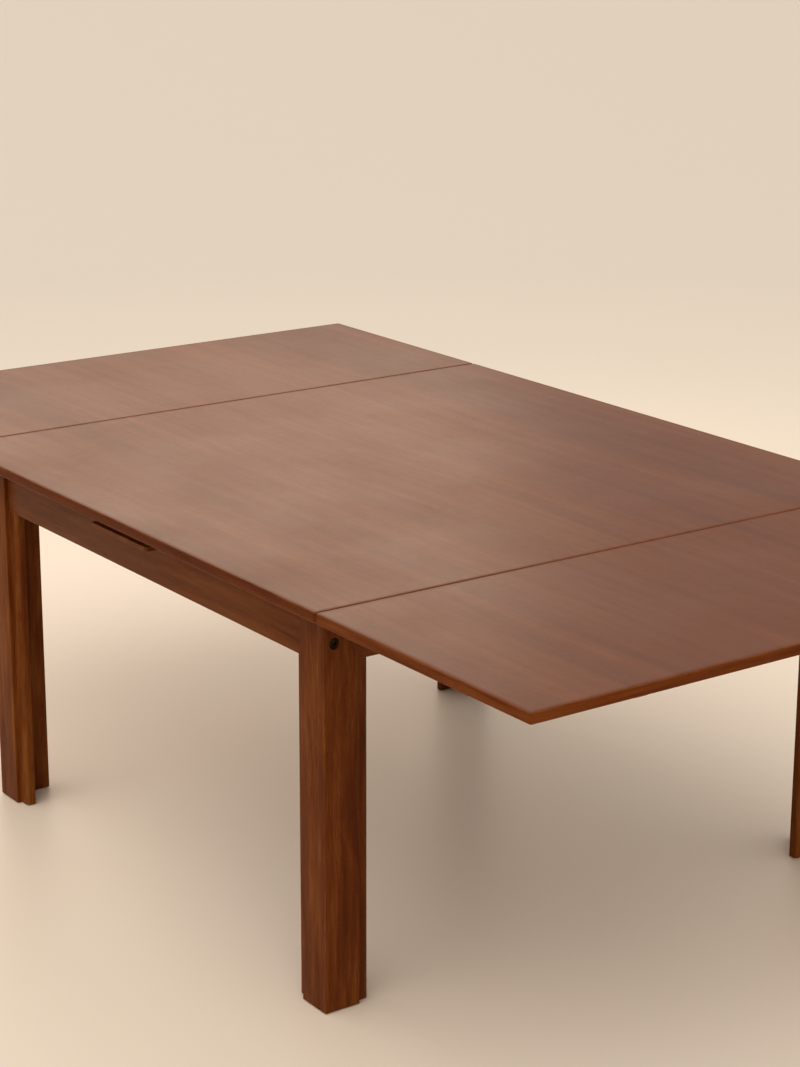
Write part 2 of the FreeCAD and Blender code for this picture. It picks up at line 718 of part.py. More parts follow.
# --- Check and write out ------------------------------------------------------------

doc.recompute()
for thing in doc.Objects:
    if {"Invalid", "Error"} & set(thing.State):
        raise RuntimeError(f"{thing.Name} did not compute: {thing.State}")
os.makedirs("parts", exist_ok=True)
for name, thing in NODES.items():
    shape = thing.Shape
    if shape.isNull() or not shape.isValid() or not shape.Solids:
        raise RuntimeError(f"{name} has no valid solid")
    shape.exportStep(f"parts/{name}.step")
print(f"{len(NODES)} nodes written")
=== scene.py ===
"""Looks of the draw-leaf dining table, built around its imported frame.

X runs along the extension, Y across the table and Z up, in metres. Near is +X,
far is -X, front is -Y and back is +Y.
"""
import math

import bmesh
import bpy
import numpy as np
from mathutils import Matrix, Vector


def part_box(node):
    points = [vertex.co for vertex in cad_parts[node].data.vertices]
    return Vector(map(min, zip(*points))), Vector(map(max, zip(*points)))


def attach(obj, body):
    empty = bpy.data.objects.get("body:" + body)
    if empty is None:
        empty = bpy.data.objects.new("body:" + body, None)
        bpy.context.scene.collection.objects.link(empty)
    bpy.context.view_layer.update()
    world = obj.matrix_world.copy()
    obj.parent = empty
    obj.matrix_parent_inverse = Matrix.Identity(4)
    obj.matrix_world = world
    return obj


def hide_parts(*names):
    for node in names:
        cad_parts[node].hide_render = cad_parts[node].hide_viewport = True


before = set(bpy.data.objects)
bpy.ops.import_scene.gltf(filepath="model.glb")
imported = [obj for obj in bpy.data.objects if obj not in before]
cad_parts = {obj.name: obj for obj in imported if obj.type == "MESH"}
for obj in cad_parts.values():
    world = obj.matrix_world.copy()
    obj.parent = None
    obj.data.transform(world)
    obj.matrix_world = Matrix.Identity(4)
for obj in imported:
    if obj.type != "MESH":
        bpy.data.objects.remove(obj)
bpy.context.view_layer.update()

ARC_STEPS = 5
ROUND = 48
ARC_FLAT = 1e-6
SHARP_ANGLE = math.radians(35)
CORNERS = {"far_front": (-1, -1), "near_front": (1, -1),
           "far_back": (-1, 1), "near_back": (1, 1)}


def box_of(*nodes):
    """Lowest and highest corner of several nodes together, as arrays."""
    boxes = [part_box(node) for node in nodes]
    lows = np.array([low for low, _ in boxes])
    highs = np.array([high for _, high in boxes])
    return lows.min(0), highs.max(0)


# --- Surfaces ---------------------------------------------------------------------

def rounded_outline(corners, radii, steps=ARC_STEPS):
    """Closed outline in a plane. At each corner B it follows an arc of radius r about
    C = B + m r / sin(t / 2), where t is the opening between the two sides and m the
    unit vector halfway between them. Returns the points and their arris weight sin(pi s),
    with s the share of the arc, so the weight is 0 on the flats and 1 on the arris. It
    lightens the arris: stain thinned by use, plus a painted highlight."""
    corners = np.array(corners, float)
    radii = np.array(radii, float)[:, None]
    back = np.roll(corners, 1, 0) - corners
    ahead = np.roll(corners, -1, 0) - corners
    back /= np.linalg.norm(back, axis=1)[:, None]
    ahead /= np.linalg.norm(ahead, axis=1)[:, None]
    opening = np.arccos(np.clip((back * ahead).sum(1), -1, 1))[:, None]
    turn = np.maximum(np.pi - opening, ARC_FLAT)[:, :, None]
    middle = back + ahead
    middle /= np.maximum(np.linalg.norm(middle, axis=1), 1e-9)[:, None]
    centre = corners + middle * radii / np.sin(opening / 2)
    run = radii / np.tan(opening / 2)
    first = (corners + back * run - centre)[:, None]
    last = (corners + ahead * run - centre)[:, None]
    s = np.linspace(0, 1, steps + 1)[None, :, None]
    arcs = centre[:, None] + (
        np.sin((1 - s) * turn) * first + np.sin(s * turn) * last) / np.sin(turn)
    ring = arcs.reshape(-1, 2)
    arris_weight = np.tile(np.sin(np.pi * s[0, :, 0]), len(corners))
    apart = np.linalg.norm(ring - np.roll(ring, 1, 0), axis=1) > 1e-9
    return ring[apart], arris_weight[apart]


def inset(outline, amount):
    """Every side moves inwards by the amount: P - a (n1 + n2) / (1 + n1.n2), with n1
    and n2 the outward normals of the two sides that meet at P."""
    side = np.roll(outline, -1, 0) - outline
    side /= np.linalg.norm(side, axis=1)[:, None]
    x, y = outline.T
    area = (x * np.roll(y, -1) - np.roll(x, -1) * y).sum()
    normal = np.sign(area) * np.stack([side[:, 1], -side[:, 0]], 1)
    before = np.roll(normal, 1, 0)
    return outline - amount * (normal + before) / (1 + (normal * before).sum(1))[:, None]


def tube_faces(rings, around):
    """Quads of a closed grid of rings x around points, and a cap over each end."""
    i, j = np.meshgrid(np.arange(rings - 1), np.arange(around), indexing="ij")
    k = (j + 1) % around
    quads = np.stack([i * around + j, i * around + k,
                      (i + 1) * around + k, (i + 1) * around + j], -1).reshape(-1, 4)
    return quads.tolist() + [list(range(around))[::-1],
                             list(range((rings - 1) * around, rings * around))]


def eased_end(outline, level, inward, ease, steps=4):
    """Rings of a quarter round at one end of a bar: inset e (1 - sin a) at a height
    of e (1 - cos a) from the end, with arris weight sin(2 a) for the thinned stain and
    painted highlight there."""
    angles = np.linspace(0, np.pi / 2, steps + 1)
    return [(inset(outline, ease * (1 - math.sin(a))),
             level + inward * ease * (1 - math.cos(a)), math.sin(2 * a)) for a in angles]


def carried(rows, arris_weight):
    """Outlines (u, v) joined into a closed tube, each at its own level w. A point's
    arris weight, for thinned stain and a painted highlight, is the larger of its
    outline's and its ring's."""
    around = len(arris_weight)
    points = np.concatenate([np.c_[ring, np.full(around, w)] for ring, w, _ in rows])
    thinning_and_highlight = np.concatenate([np.maximum(arris_weight, ring_arris_weight) for _, _, ring_arris_weight in rows])
    return points, tube_faces(len(rows), around), thinning_and_highlight


def eased_prism(corners, radii, low, high, ease):
    """A rounded outline carried from low to high, with both ends eased."""
    outline, arris_weight = rounded_outline(corners, radii)
    rows = eased_end(outline, low, 1, ease) + eased_end(outline, high, -1, ease)[::-1]
    return carried(rows, arris_weight)


def turned(profile, segments=32):
    """A profile (radius, height) turned about the axis: (r cos a, r sin a, h). A
    radius may itself be an array over the angles, for a socket or a slot."""
    angle = np.linspace(0, 2 * np.pi, segments, endpoint=False)
    rings = [np.stack([r * np.cos(angle), r * np.sin(angle), np.full(segments, h)], 1)
             for r, h in profile]
    return np.concatenate(rings), tube_faces(len(rings), segments), None


def joined(parts):
    """Several point and face sets as one."""
    points, faces, start = [], [], 0
    for part_points, part_faces, _ in parts:
        points.append(part_points)
        faces += [[start + i for i in face] for face in part_faces]
        start += len(part_points)
    return np.concatenate(points), faces, None


def moved(part, columns, place):
    """A surface with its (u, v, w) laid along three directions from a place."""
    points, faces, arris_weight = part
    return points @ np.array(columns, float) + np.array(place, float), faces, arris_weight


def make_piece(name, part, body, slot, material, *nodes, board=0.0):
    """A mesh object from points and faces, closed, with its normals outwards. It
    rides on the body and stands for the CAD nodes."""
    points, faces, arris_weight = part
    mesh = bpy.data.meshes.new(name)
    mesh.from_pydata(points.tolist(), [], faces)
    # The arris attribute lightens the arris: stain thinned by use plus a painted highlight.
    arris = mesh.attributes.new("arris", "FLOAT", "POINT")
    arris.data.foreach_set("value", np.zeros(len(points)) if arris_weight is None else arris_weight)
    plank = mesh.attributes.new("board", "FLOAT", "POINT")
    plank.data.foreach_set("value", np.full(len(points), board))
    surface = bmesh.new()
    surface.from_mesh(mesh)
    bmesh.ops.remove_doubles(surface, verts=surface.verts, dist=1e-6)
    bmesh.ops.dissolve_degenerate(surface, edges=surface.edges, dist=1e-6)
    bmesh.ops.recalc_face_normals(surface, faces=surface.faces)
    surface.to_mesh(mesh)
    surface.free()
    mesh.shade_smooth()
    mesh.set_sharp_from_angle(angle=SHARP_ANGLE)
    mesh.materials.append(material)
    piece = bpy.data.objects.new(name, mesh)
    bpy.context.scene.collection.objects.link(piece)
    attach(piece, body)
    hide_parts(*nodes)
    return piece


def bore(piece, cutter_part):
    """Take a turned cutter out of a piece, and keep the result as its mesh."""
    points, faces, _ = cutter_part
    mesh = bpy.data.meshes.new("cutter")
    mesh.from_pydata(points.tolist(), [], faces)
    surface = bmesh.new()
    surface.from_mesh(mesh)
    bmesh.ops.remove_doubles(surface, verts=surface.verts, dist=1e-7)
    bmesh.ops.recalc_face_normals(surface, faces=surface.faces)
    surface.to_mesh(mesh)
    surface.free()
    cutter = bpy.data.objects.new("cutter", mesh)
    bpy.context.scene.collection.objects.link(cutter)
    cutting = piece.modifiers.new("bore", "BOOLEAN")
    cutting.operation, cutting.object, cutting.solver = "DIFFERENCE", cutter, "EXACT"
    graph = bpy.context.evaluated_depsgraph_get()
    bored = bpy.data.meshes.new_from_object(piece.evaluated_get(graph))
    piece.modifiers.clear()
    piece.data = bored
    bored.set_sharp_from_angle(angle=SHARP_ANGLE)
    bpy.data.objects.remove(cutter)


# --- Shader building ----------------------------------------------------------------

BOARD_STEP = (3.71, 1.93, 5.37)
BROAD_SHARE, STREAK_SHARE, LINE_SHARE = 0.42, 0.40, 0.18
PORE_RANGE, PORE_PATCHES = (0.60, 0.72), (0.42, 0.62)
RAMP_LOW, RAMP_HIGH = 0.36, 0.64
UPPER_FACE = (0.55, 0.95)
GRAIN_DEPTH = 0.0002
VARNISH_IOR = 1.48
VENEER_PORES, VENEER_COAT, COAT_ROUGHNESS = 0.35, 0.3, 0.4

def linear(code):
    """A colour from its usual six-digit code, as linear red, green, blue, alpha."""
    values = [int(code[i:i + 2], 16) / 255 for i in (0, 2, 4)]
    return [v / 12.92 if v <= 0.04045 else ((v + 0.055) / 1.055) ** 2.4 for v in values] + [1.0]


def add_node(tree, kind, inputs=None, **settings):
    node = tree.nodes.new(kind)
    for key, value in settings.items():
        setattr(node, key, value)
    for key, value in (inputs or {}).items():
        socket = node.inputs[key]
        if isinstance(value, bpy.types.NodeSocket):
            tree.links.new(value, socket)
        else:
            socket.default_value = value
    return node


def calc(tree, operation, *values, clamp=False):
    node = add_node(tree, "ShaderNodeMath", dict(enumerate(values)),
                    operation=operation, use_clamp=clamp)
    return node.outputs[0]


def scaled(tree, vector, factors):
    node = add_node(tree, "ShaderNodeVectorMath", {0: vector, 1: factors}, operation="MULTIPLY")
    return node.outputs[0]


def noise(tree, vector, scale, detail=2.0, roughness=0.5):
    node = add_node(tree, "ShaderNodeTexNoise", {
        "Vector": vector, "Scale": scale, "Detail": detail, "Roughness": roughness})
    return node.outputs["Fac"]


def span(tree, value, low, high, to_low=0.0, to_high=1.0):
    node = add_node(tree, "ShaderNodeMapRange", {
        "Value": value, "From Min": low, "From Max": high,
        "To Min": to_low, "To Max": to_high})
    return node.outputs[0]


def mixed(tree, share, first, second, blend="MIX"):
    node = add_node(tree, "ShaderNodeMix", {0: share, 6: first, 7: second},
                    data_type="RGBA", blend_type=blend)
    return node.outputs[2]


def attribute(tree, name):
    node = add_node(tree, "ShaderNodeAttribute", attribute_name=name)
    return node.outputs["Fac"]


def new_group(name, inputs, outputs):
    group = bpy.data.node_groups.new(name, "ShaderNodeTree")
    for label, kind, default in inputs:
        socket = group.interface.new_socket(label, in_out="INPUT", socket_type=kind)
        if default is not None:
            socket.default_value = default
    for label, kind in outputs:
        group.interface.new_socket(label, in_out="OUTPUT", socket_type=kind)
    inlet = group.nodes.new("NodeGroupInput")
    outlet = group.nodes.new("NodeGroupOutput")
    return group, inlet.outputs, outlet.inputs


def wood_figure():
    """Grain along X: broad figure, streaks and fine lines of stretched noise, and the
    pores as thin dashes. Each board starts elsewhere in the noise and has its own tone."""
    group, given, result = new_group(
        "wood_figure",
        [("Vector", "NodeSocketVector", None), ("Broad", "NodeSocketFloat", 8.0),
         ("Streaks", "NodeSocketFloat", 55.0), ("Lines", "NodeSocketFloat", 420.0),
         ("Wander", "NodeSocketFloat", 0.02), ("Board Tone", "NodeSocketFloat", 0.1),
         ("Own Place", "NodeSocketFloat", 1.0)],
        [("Tone", "NodeSocketFloat"), ("Pores", "NodeSocketFloat"),
         ("Relief", "NodeSocketFloat")])
    board = calc(group, "MULTIPLY", attribute(group, "board"), given["Own Place"])
    shift = add_node(group, "ShaderNodeCombineXYZ", {
        axis: calc(group, "MULTIPLY", board, step)
        for axis, step in enumerate(BOARD_STEP)}).outputs[0]
    start = add_node(group, "ShaderNodeVectorMath", {0: given["Vector"], 1: shift},
                     operation="ADD").outputs[0]
    drift = add_node(group, "ShaderNodeTexNoise", {
        "Vector": scaled(group, start, (1.0, 3.0, 3.0)), "Scale": 1.1, "Detail": 1.0})
    bend = add_node(group, "ShaderNodeVectorMath", {
        0: drift.outputs["Color"], 1: (0.5, 0.5, 0.5)}, operation="SUBTRACT").outputs[0]
    way = add_node(group, "ShaderNodeVectorMath", {
        0: bend, 1: given["Wander"], 2: start}, operation="MULTIPLY_ADD").outputs[0]
    broad = noise(group, scaled(group, way, (0.07, 1.0, 1.0)), given["Broad"], 2.0)
    streaks = noise(group, scaled(group, way, (0.035, 1.0, 1.0)), given["Streaks"], 4.0, 0.6)
    lines = noise(group, scaled(group, way, (0.02, 1.0, 1.0)), given["Lines"], 2.0)
    tone = calc(group, "ADD", calc(group, "MULTIPLY", broad, BROAD_SHARE),
                calc(group, "ADD", calc(group, "MULTIPLY", streaks, STREAK_SHARE),
                     calc(group, "MULTIPLY", lines, LINE_SHARE)))
    own = add_node(group, "ShaderNodeTexWhiteNoise", {"W": board}, noise_dimensions="1D")
    lean = calc(group, "MULTIPLY", calc(group, "SUBTRACT", own.outputs[0], 0.5),
                given["Board Tone"])
    group.links.new(calc(group, "ADD", tone, lean), result["Tone"])
    dashes = noise(group, scaled(group, way, (0.028, 1.0, 1.0)), 1500.0, 1.0)
    thick = noise(group, scaled(group, way, (0.1, 1.0, 1.0)), 40.0, 2.0)
    pores = calc(group, "MULTIPLY", span(group, dashes, *PORE_RANGE),
                 span(group, thick, *PORE_PATCHES))
    group.links.new(pores, result["Pores"])
    group.links.new(calc(group, "SUBTRACT", calc(group, "MULTIPLY", lines, 0.4), pores),
                    result["Relief"])
    return group


def thin_stain_and_highlight():
    """Where hands and cloths have thinned the stain, and a painted highlight on the
    arris: the arris attribute, broken up by noise."""
    group, given, result = new_group(
        "thin_stain_and_highlight",
        [("Vector", "NodeSocketVector", None), ("Amount", "NodeSocketFloat", 0.5)],
        [("Mask", "NodeSocketFloat")])
    patches = noise(group, given["Vector"], 14.0, 4.0, 0.6)
    thinning_and_highlight = calc(group, "MULTIPLY", attribute(group, "arris"), span(group, patches, 0.35, 0.7))
    group.links.new(calc(group, "MULTIPLY", thinning_and_highlight, given["Amount"], clamp=True), result["Mask"])
    return group


def polish():
    """Varnish that is a little smoother here and duller there: a roughness."""
    group, given, result = new_group(
        "polish",
        [("Vector", "NodeSocketVector", None), ("Smooth", "NodeSocketFloat", 0.34),
         ("Dull", "NodeSocketFloat", 0.46)],
        [("Roughness", "NodeSocketFloat")])
    clouds = noise(group, given["Vector"], 3.2, 3.0, 0.55)
    haze = noise(group, given["Vector"], 90.0, 2.0)
    blend = calc(group, "ADD", calc(group, "MULTIPLY", clouds, 0.75),
                 calc(group, "MULTIPLY", haze, 0.25))
    group.links.new(span(group, blend, 0.3, 0.7, given["Smooth"], given["Dull"]),
                    result["Roughness"])
    return group


FIGURE, THIN_STAIN_AND_HIGHLIGHT, POLISH = wood_figure(), thin_stain_and_highlight(), polish()
ALONG_X, ALONG_Y, ALONG_Z = (0, 0, 0), (0, 0, math.pi / 2), (0, math.pi / 2, 0)


def group_node(tree, group, **inputs):
    node = tree.nodes.new("ShaderNodeGroup")
    node.node_tree = group
    for label, value in inputs.items():
        socket = node.inputs[label.replace("_", " ")]
        if isinstance(value, bpy.types.NodeSocket):
            tree.links.new(value, socket)
        else:
            socket.default_value = value
    return node.outputs


def new_material(name):
    material = bpy.data.materials.new(name)
    material.use_nodes = True
    tree = material.node_tree
    shader = tree.nodes["Principled BSDF"]
    where = add_node(tree, "ShaderNodeTexCoord").outputs["Object"]
    return material, tree, shader, where


def stained(tree, grain, colours, pores):
    """Three colours along the tone, and darker pores."""
    ramp = add_node(tree, "ShaderNodeValToRGB", {"Fac": grain["Tone"]})
    stops = ramp.color_ramp.elements
    stops[0].position, stops[0].color = RAMP_LOW, linear(colours[0])
    stops[1].position, stops[1].color = RAMP_HIGH, linear(colours[2])
    stops.new(0.5).color = linear(colours[1])
    return mixed(tree, calc(tree, "MULTIPLY", grain["Pores"], pores),
                 ramp.outputs[0], linear(colours[0]), "MULTIPLY")


def wood(name, turn, colours, figure, shine, pores=0.5, thinning_and_highlight=0.0, relief=0.1, gloss=0.5,
         quick=1.0, veneered=False):
    """Stained and varnished wood, with a lighter arris that is partly stain thinned by
    use and partly a painted highlight, a satin film and a shallow relief. The grain
    changes quick times as fast along the board. A veneered strip has the top's veneer
    over its upper face, with a thin coat there."""
    material, tree, shader, where = new_material(name)
    laid = add_node(tree, "ShaderNodeMapping", {
        "Vector": where, "Rotation": turn}).outputs[0]
    grain = group_node(tree, FIGURE, Vector=scaled(tree, laid, (quick, 1.0, 1.0)), **figure)
    # Lighter arris colour: stain thinned by use plus a painted highlight.
    arris_lightening = group_node(tree, THIN_STAIN_AND_HIGHLIGHT, Vector=where, Amount=thinning_and_highlight)
    colour = mixed(tree, arris_lightening["Mask"], stained(tree, grain, colours, pores),
                   linear(colours[3]))
    if veneered:
        facing = add_node(tree, "ShaderNodeSeparateXYZ", {
            0: add_node(tree, "ShaderNodeNewGeometry").outputs["Normal"]})
        upper = span(tree, facing.outputs["Z"], *UPPER_FACE)
        sheet = group_node(tree, FIGURE, Vector=where, Own_Place=0.0, **TOP_FIGURE)
        colour = mixed(tree, upper, colour, stained(tree, sheet, TOP_TONES, VENEER_PORES))
        tree.links.new(calc(tree, "MULTIPLY", upper, VENEER_COAT), shader.inputs["Coat Weight"])
        shader.inputs["Coat Roughness"].default_value = COAT_ROUGHNESS
    tree.links.new(colour, shader.inputs["Base Color"])
    film = group_node(tree, POLISH, Vector=where, Smooth=shine[0], Dull=shine[1])
    tree.links.new(film["Roughness"], shader.inputs["Roughness"])
    bump = add_node(tree, "ShaderNodeBump", {
        "Height": grain["Relief"], "Strength": relief, "Distance": GRAIN_DEPTH})
    tree.links.new(bump.outputs[0], shader.inputs["Normal"])
    shader.inputs["IOR"].default_value = VARNISH_IOR
    shader.inputs["Specular IOR Level"].default_value = gloss
    return material


def metal(name, colour, smooth, dull, metallic=1.0):
    """Finely marked metal between two colours, or a moulded plastic if not metallic."""
    material, tree, shader, where = new_material(name)
    marks = noise(tree, where, 700.0, 3.0)
    shade = mixed(tree, span(tree, marks, 0.35, 0.7), linear(colour[0]), linear(colour[1]))
    tree.links.new(shade, shader.inputs["Base Color"])
    tree.links.new(span(tree, marks, 0.3, 0.7, smooth, dull), shader.inputs["Roughness"])
    shader.inputs["Metallic"].default_value = metallic
    return material


# The fourth colour of each set is the lighter arris: thinned stain plus a painted highlight.
TOP_TONES = ("57280D", "653013", "733D1C", "8A5430")
EDGE_TONES = ("4C2006", "602C0C", "743C16", "94623E")
LEG_TONES = ("4E2208", "63300E", "7A461C", "94642E")
APRON_TONES = ("4A2206", "643412", "75421C", "8C5834")
INNER_TONES = ("8A6A45", "A58358", "BC9C70", "C8AC82")
TOP_FIGURE = {"Broad": 5.0, "Streaks": 34.0, "Lines": 380.0, "Wander": 0.05}
EDGE_FIGURE = {"Broad": 22.0, "Streaks": 120.0, "Lines": 700.0, "Wander": 0.02}
LEG_FIGURE = {"Broad": 24.0, "Streaks": 110.0, "Lines": 620.0, "Wander": 0.03,
              "Board_Tone": 0.12}
APRON_FIGURE = {"Broad": 14.0, "Streaks": 70.0, "Lines": 520.0, "Wander": 0.03}
INNER_FIGURE = {"Broad": 18.0, "Streaks": 80.0, "Lines": 520.0, "Wander": 0.03}
# The first entry of each finish lightens the arris: thinned stain plus a painted highlight.
EDGE_FINISH = {"thinning_and_highlight": 0.6, "gloss": 0.04, "veneered": True, "quick": 1.5}
APRON_FINISH = {"thinning_and_highlight": 0.6, "gloss": 0.08, "quick": 1.5}
SATIN, SOFT_SATIN, BARE = (0.34, 0.44), (0.40, 0.52), (0.55, 0.7)

veneer = wood("veneer_top", ALONG_X, TOP_TONES, TOP_FIGURE, SATIN, pores=VENEER_PORES,
              relief=0.06, gloss=0.25)
edge_x = wood("lipping_along", ALONG_X, EDGE_TONES, EDGE_FIGURE, SATIN, **EDGE_FINISH)
edge_y = wood("lipping_across", ALONG_Y, EDGE_TONES, EDGE_FIGURE, SATIN, **EDGE_FINISH)
# The legs' arrises are lightened too: thinned stain plus a painted highlight.
leg_wood = wood("leg_wood", ALONG_Z, LEG_TONES, LEG_FIGURE, SOFT_SATIN, pores=0.7, thinning_and_highlight=0.3,
                relief=0.2, gloss=0.06, quick=2.3)
apron_x = wood("apron_along", ALONG_X, APRON_TONES, APRON_FIGURE, SOFT_SATIN, **APRON_FINISH)
apron_y = wood("apron_across", ALONG_Y, APRON_TONES, APRON_FIGURE, SOFT_SATIN, **APRON_FINISH)
inner_x = wood("bearer_wood", ALONG_X, INNER_TONES, INNER_FIGURE, BARE, relief=0.25)
inner_y = wood("rail_wood", ALONG_Y, INNER_TONES, INNER_FIGURE, BARE, relief=0.25)
peg_wood = wood("peg_wood", ALONG_Z, INNER_TONES, INNER_FIGURE, BARE, relief=0.25)
dark_steel = metal("dark_steel", ("1E160E", "3C2E20"), 0.4, 0.55)
steel = metal("plain_steel", ("6F6A62", "9A958C"), 0.3, 0.5)
glide_black = metal("glide_black", ("171412", "2B2622"), 0.5, 0.7, metallic=0.0)

# --- Top and leaves -------------------------------------------------------------------

LIPPING = 0.008
LIPPING_RUNS = 9
ARRIS = 0.0025
TONE_STEP = 0.23
PLAN_CORNER = 0.005
SIDES = {"front": ((1, 0), (0, 1), (0, 0)), "near": ((0, 1), (-1, 0), (1, 0)),
         "back": ((-1, 0), (0, -1), (1, 1)), "far": ((0, -1), (1, 0), (0, 1))}


def lipping(length, low, high, steps=6):
    """One edge strip, its outer face at v = 0 and running along u. The path is half a
    corner arc C + R n(a), the straight edge, and half an arc again, n being the way
    out; the section runs from the inner edge over the top arris P - e (1 - sin t) n,
    down the face, under the lower arris and back. The ends are mitred."""
    a = np.linspace(np.pi / 4, 0, steps)
    straight = np.linspace(LIPPING, length - LIPPING, LIPPING_RUNS)
    along = np.r_[PLAN_CORNER * (1 - np.sin(a)), straight,
                  length - PLAN_CORNER * (1 - np.sin(a[::-1]))]
    depth = np.r_[PLAN_CORNER * (1 - np.cos(a)), 0 * straight,
                  PLAN_CORNER * (1 - np.cos(a[::-1]))]
    out = np.stack([np.r_[-np.sin(a), 0 * straight, np.sin(a[::-1])],
                    np.r_[-np.cos(a), 0 * straight - 1, -np.cos(a[::-1])]], 1)
    path = np.stack([along, depth], 1)
    inner = np.stack([np.clip(along, LIPPING, length - LIPPING),
                      np.full(len(along), LIPPING)], 1)
    t = np.linspace(0, np.pi / 2, steps)
    draw, drop = ARRIS * (1 - np.sin(t)), ARRIS * (1 - np.cos(t))
    draw, level = np.r_[draw, draw[::-1]], np.r_[high - drop, low + drop[::-1]]
    # Arris weight on both arrises: thinned stain plus a painted highlight.
    arris_weight = np.r_[np.sin(2 * t), np.sin(2 * t[::-1])]
    outer = path[:, None] - draw[None, :, None] * out[:, None]
    rings = np.concatenate([inner[:, None], outer, inner[:, None]], 1)
    levels = np.tile(np.r_[high, level, low], (len(path), 1))
    points = np.concatenate([rings, levels[..., None]], 2).reshape(-1, 3)
    thinning_and_highlight = np.tile(np.r_[0, arris_weight, 0], len(path))
    return points, tube_faces(len(path), rings.shape[1]), thinning_and_highlight


def lipped_board(body, number):
    """The veneered panel and its four edge strips."""
    nodes = [f"{body}_lipping_{side}" for side in SIDES]
    low, high = box_of(*nodes)
    size = high - low
    for step, (side, (along, inward, start)) in enumerate(SIDES.items()):
        length = size[0] if side in ("front", "back") else size[1]
        strip = lipping(length, low[2], high[2])
        place = (low[0] + start[0] * size[0], low[1] + start[1] * size[1], 0)
        strip = moved(strip, [(*along, 0), (*inward, 0), (0, 0, 1)], place)
        wood_used = edge_x if side in ("front", "back") else edge_y
        make_piece(f"{body}_edge_{side}", strip, body, "solid_wood", wood_used,
                   f"{body}_lipping_{side}", board=number + step * TONE_STEP)
    paint(veneer, f"{body}_panel")


def paint(material, *nodes):
    """Give CAD parts that keep their shape a material."""
    for name in nodes:
        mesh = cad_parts[name].data
        mesh.materials.clear()
        mesh.materials.append(material)


for number, body in enumerate(("centre_top", "near_leaf", "far_leaf"), start=1):
    lipped_board(body, number)

# --- Legs -----------------------------------------------------------------------------

leg_low, leg_high = box_of(*(f"leg_{corner}_{part}_board" for corner in CORNERS
                             for part in ("end", "side")))
SHELF = box_of("long_apron_front", "long_apron_back")[0][2]
LEG_OUT = leg_high[:2]
LEG_FACE, LEG_WIDTH, LEG_THICK, LEG_REBATE, LEG_LAP = 0.070, 0.095, 0.029, 0.010, 0.020
FREE_EDGE, LEG_CORNER, SOFT, TIGHT = 0.008, 0.002, 0.0012, 0.0006
END_BOARD = ([(0, 0), (0, LEG_FACE), (LEG_REBATE, LEG_FACE), (LEG_REBATE, LEG_WIDTH),
              (LEG_THICK, LEG_WIDTH), (LEG_THICK, LEG_FACE), (LEG_THICK, LEG_LAP),
              (LEG_LAP, LEG_LAP), (LEG_LAP, 0)],
             [LEG_CORNER, SOFT, SOFT, FREE_EDGE, LEG_CORNER, 0, TIGHT, TIGHT, TIGHT])
SIDE_BOARD = ([(LEG_LAP, 0), (LEG_FACE, 0), (LEG_FACE, LEG_REBATE), (LEG_WIDTH, LEG_REBATE),
               (LEG_WIDTH, LEG_THICK), (LEG_FACE, LEG_THICK), (LEG_THICK, LEG_THICK),
               (LEG_THICK, LEG_LAP), (LEG_LAP, LEG_LAP)],
              [TIGHT, SOFT, SOFT, FREE_EDGE, LEG_CORNER, 0, TIGHT, TIGHT, TIGHT])


def leg_board(corners, radii, axis):
    """A board's section carried up from the floor. Above the apron's lower edge the
    part of it past the face is cut back to the face, which leaves a shelf."""
    outline, arris_weight = rounded_outline(corners, radii)
    short = outline.copy()
    short[:, axis] = np.minimum(short[:, axis], LEG_FACE)
    rows = eased_end(outline, leg_low[2], 1, TIGHT)
    rows += [(outline, SHELF, 0.0), (short, SHELF, 0.0), (short, leg_high[2], 0.0)]
    return carried(rows, arris_weight)


bolt_high = box_of("leg_bolts")[1]
head_x = box_of("bolt_washers")[1][0]
BOLT_RADIUS, COUNTERBORE, MOUTH, WASHER_THICK = 0.008, 0.010, 0.0006, 0.0015
CUTTER_PROUD = 0.002
FIRST_LEG_BOARD = 10
bolt_y = bolt_high[1] - BOLT_RADIUS
bolt_z = bolt_high[2] - BOLT_RADIUS
bore_depth = LEG_OUT[0] - (head_x - WASHER_THICK)

for number, (corner, (sx, sy)) in enumerate(CORNERS.items()):
    turn = [(-sx, 0, 0), (0, -sy, 0), (0, 0, 1)]
    place = (sx * LEG_OUT[0], sy * LEG_OUT[1], 0)
    end = make_piece(
        f"leg_{corner}_end_plank", moved(leg_board(*END_BOARD, 1), turn, place),
        "frame", "solid_wood", leg_wood, f"leg_{corner}_end_board", board=FIRST_LEG_BOARD + number)
    cutter = turned([(0, -CUTTER_PROUD), (COUNTERBORE + MOUTH, -CUTTER_PROUD),
                     (COUNTERBORE + MOUTH, 0), (COUNTERBORE, MOUTH),
                     (COUNTERBORE, bore_depth), (0, bore_depth)], ROUND)
    bore(end, moved(cutter, [(0, 1, 0), (0, 0, 1), (-sx, 0, 0)],
                    (sx * LEG_OUT[0], sy * bolt_y, bolt_z)))
    make_piece(
        f"leg_{corner}_side_plank", moved(leg_board(*SIDE_BOARD, 0), turn, place),
        "frame", "solid_wood", leg_wood, f"leg_{corner}_side_board", board=FIRST_LEG_BOARD + number)

# --- Aprons ---------------------------------------------------------------------------

X_AWAY = [(0, 1, 0), (0, 0, 1), (1, 0, 0)]
LOWER_ARRIS, UPPER_ARRIS, LONG_END, END_END = 0.0015, 0.001, 0.0006, 0.001
FIRST_LONG_APRON, FIRST_END_APRON = 30, 40
for name in ("front", "back"):
    low, high = box_of(f"long_apron_{name}")
    section = [(low[1], low[2]), (high[1], low[2]), (high[1], high[2]), (low[1], high[2])]
    bar = eased_prism(section, 2 * [LOWER_ARRIS] + 2 * [UPPER_ARRIS], low[0], high[0], LONG_END)
    make_piece(f"long_apron_{name}_board", moved(bar, X_AWAY, (0, 0, 0)), "frame",
               "solid_wood", apron_x, f"long_apron_{name}", board=FIRST_LONG_APRON + low[1])

